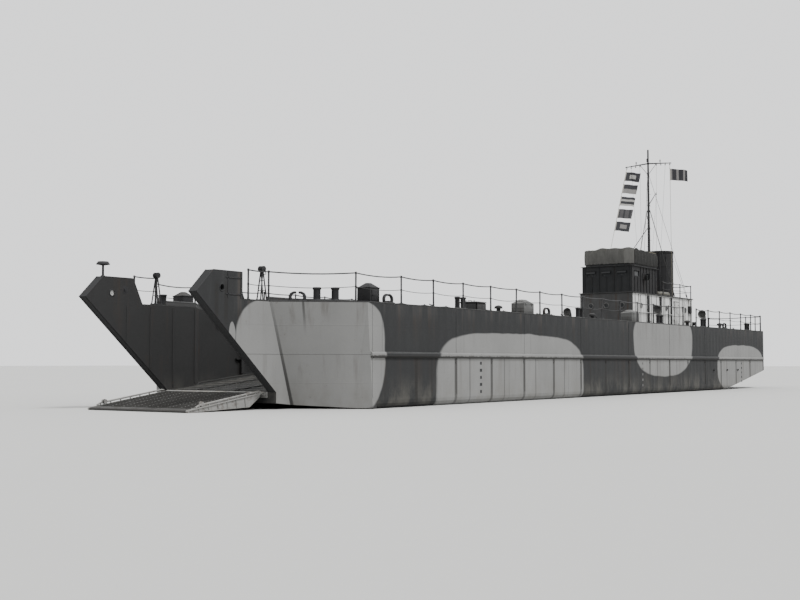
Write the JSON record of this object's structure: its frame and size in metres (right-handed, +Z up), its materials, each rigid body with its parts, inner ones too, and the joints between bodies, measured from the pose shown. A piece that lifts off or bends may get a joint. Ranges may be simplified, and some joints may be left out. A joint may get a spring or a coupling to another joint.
{
  "type": "half-scale tank landing craft",
  "caption": "Half-scale tank landing craft: shallow flat-bottomed open hold, bow ramp between raked horns, deckhouse, bridge, funnel and mast aft, twin screws.",
  "frame": {"origin": "on the keel line, at mid-length and mid-beam of the whole model", "axes": "+X forward towards the bow ramp, +Y to port, +Z up"},
  "size_m": [28.535, 5.905, 8.5],
  "materials": {
    "hull": "weathered matt dark grey paint with lighter grey patches",
    "house": "weathered matt light grey paint",
    "bridge": "matt dark grey paint",
    "deck": "scuffed dark deck paint",
    "ramp": "worn muddy grey paint and bare steel",
    "fitting": "dark grey painted steel",
    "wire": "greased wire",
    "bronze": "dull cast bronze",
    "canvas": "weathered canvas",
    "bunting": "bunting"
  },
  "bodies": {
    "hull": {"hull_bottom": "hull", "hull_aft": "hull", "hull_side_port": "hull", "hull_side_starboard": "hull", "bow_port": "hull", "bow_starboard": "hull", "rubbing_strake_port": "hull", "rubbing_strake_starboard": "hull", "hold_coaming_port": "hull", "hold_coaming_starboard": "hull", "hold_coaming_aft": "hull", "tank_deck": "deck", "poop_deck": "deck", "side_deck_port": "deck", "hatch_deck_port": "deck", "fore_deck_port": "deck", "bow_deck_port": "deck", "side_deck_starboard": "deck", "hatch_deck_starboard": "deck", "fore_deck_starboard": "deck", "bow_deck_starboard": "deck", "deckhouse_roof": "deck", "bridge_deck": "deck", "fore_hatch_port_coaming": "deck", "fore_hatch_starboard_coaming": "deck", "engine_hatch_coaming": "deck", "side_rail_port": "fitting", "side_rail_starboard": "fitting", "poop_rail_port": "fitting", "poop_rail_starboard": "fitting", "roof_rail": "fitting", "ramp_hinge": "fitting", "mast": "fitting", "bridge_ladder": "fitting", "house_ladder": "fitting", "kedge_winch_frame": "fitting", "kedge_anchor": "fitting", "deckhouse_walls": "house", "wheelhouse_walls": "bridge", "funnel": "bridge", "bridge_screen": "canvas", "stay_fore": "wire", "stay_port": "wire", "stay_starboard": "wire", "signal_flags": "bunting", "yardarm_flag": "bunting"},
    "bow_ramp": {"ramp": "ramp"},
    "port_propeller": {"propeller_port": "bronze"},
    "starboard_propeller": {"propeller_starboard": "bronze"},
    "port_rudder": {"rudder_port": "hull"},
    "starboard_rudder": {"rudder_starboard": "hull"},
    "port_house_door": {"house_door_port": "house"},
    "aft_house_door": {"house_door_aft": "house"},
    "aft_wheelhouse_door": {"wheelhouse_door": "bridge"},
    "port_fore_hatch_lid": {"fore_hatch_port_lid": "deck"},
    "starboard_fore_hatch_lid": {"fore_hatch_starboard_lid": "deck"},
    "engine_hatch_cover": {"engine_hatch_lid": "deck"},
    "winch_drum": {"kedge_winch_drum": "fitting"}
  },
  "joints": [
    {"name": "ramp_hinge_turn", "type": "hinge", "parent": "hull", "child": "bow_ramp", "pos_m": [12.1725, 0, 0.3], "axis": [0, -1, 0], "range_deg": [0, 47]},
    {"name": "propeller_port_spin", "type": "hinge", "parent": "hull", "child": "port_propeller", "pos_m": [-12.9925, 0.95, 0.275], "axis": [1, 0, 0], "continuous": true},
    {"name": "propeller_starboard_spin", "type": "hinge", "parent": "hull", "child": "starboard_propeller", "pos_m": [-12.9925, -0.95, 0.275], "axis": [1, 0, 0], "continuous": true},
    {"name": "rudder_port_steer", "type": "hinge", "parent": "hull", "child": "port_rudder", "pos_m": [-13.5925, 0.95, 0.7], "axis": [0, 0, 1], "range_deg": [-35, 35]},
    {"name": "rudder_starboard_steer", "type": "hinge", "parent": "hull", "child": "starboard_rudder", "pos_m": [-13.5925, -0.95, 0.7], "axis": [0, 0, 1], "range_deg": [-35, 35]},
    {"name": "house_door_port_swing", "type": "hinge", "parent": "hull", "child": "port_house_door", "pos_m": [-9.8625, 0.955, 2.5], "axis": [0, 0, -1], "range_deg": [0, 110]},
    {"name": "house_door_aft_swing", "type": "hinge", "parent": "hull", "child": "aft_house_door", "pos_m": [-11.6475, 0.725, 2.5], "axis": [0, 0, -1], "range_deg": [0, 110]},
    {"name": "wheelhouse_door_swing", "type": "hinge", "parent": "hull", "child": "aft_wheelhouse_door", "pos_m": [-8.5475, -0.075, 3.5], "axis": [0, 0, -1], "range_deg": [0, 100]},
    {"name": "fore_hatch_port_lift", "type": "hinge", "parent": "hull", "child": "port_fore_hatch_lid", "pos_m": [5.9875, 2.375, 2.255], "axis": [0, -1, 0], "range_deg": [0, 100]},
    {"name": "fore_hatch_starboard_lift", "type": "hinge", "parent": "hull", "child": "starboard_fore_hatch_lid", "pos_m": [5.9875, -2.375, 2.255], "axis": [0, -1, 0], "range_deg": [0, 100]},
    {"name": "engine_hatch_lift", "type": "hinge", "parent": "hull", "child": "engine_hatch_cover", "pos_m": [-12.5025, -1.6, 2.255], "axis": [0, -1, 0], "range_deg": [0, 100]},
    {"name": "kedge_winch_spin", "type": "hinge", "parent": "hull", "child": "winch_drum", "pos_m": [-13.1175, 0, 2.36], "axis": [0, 1, 0], "continuous": true}
  ],
  "couplings": [
    {"joint": "rudder_starboard_steer", "follows": "rudder_port_steer", "ratio": 1}
  ]
}
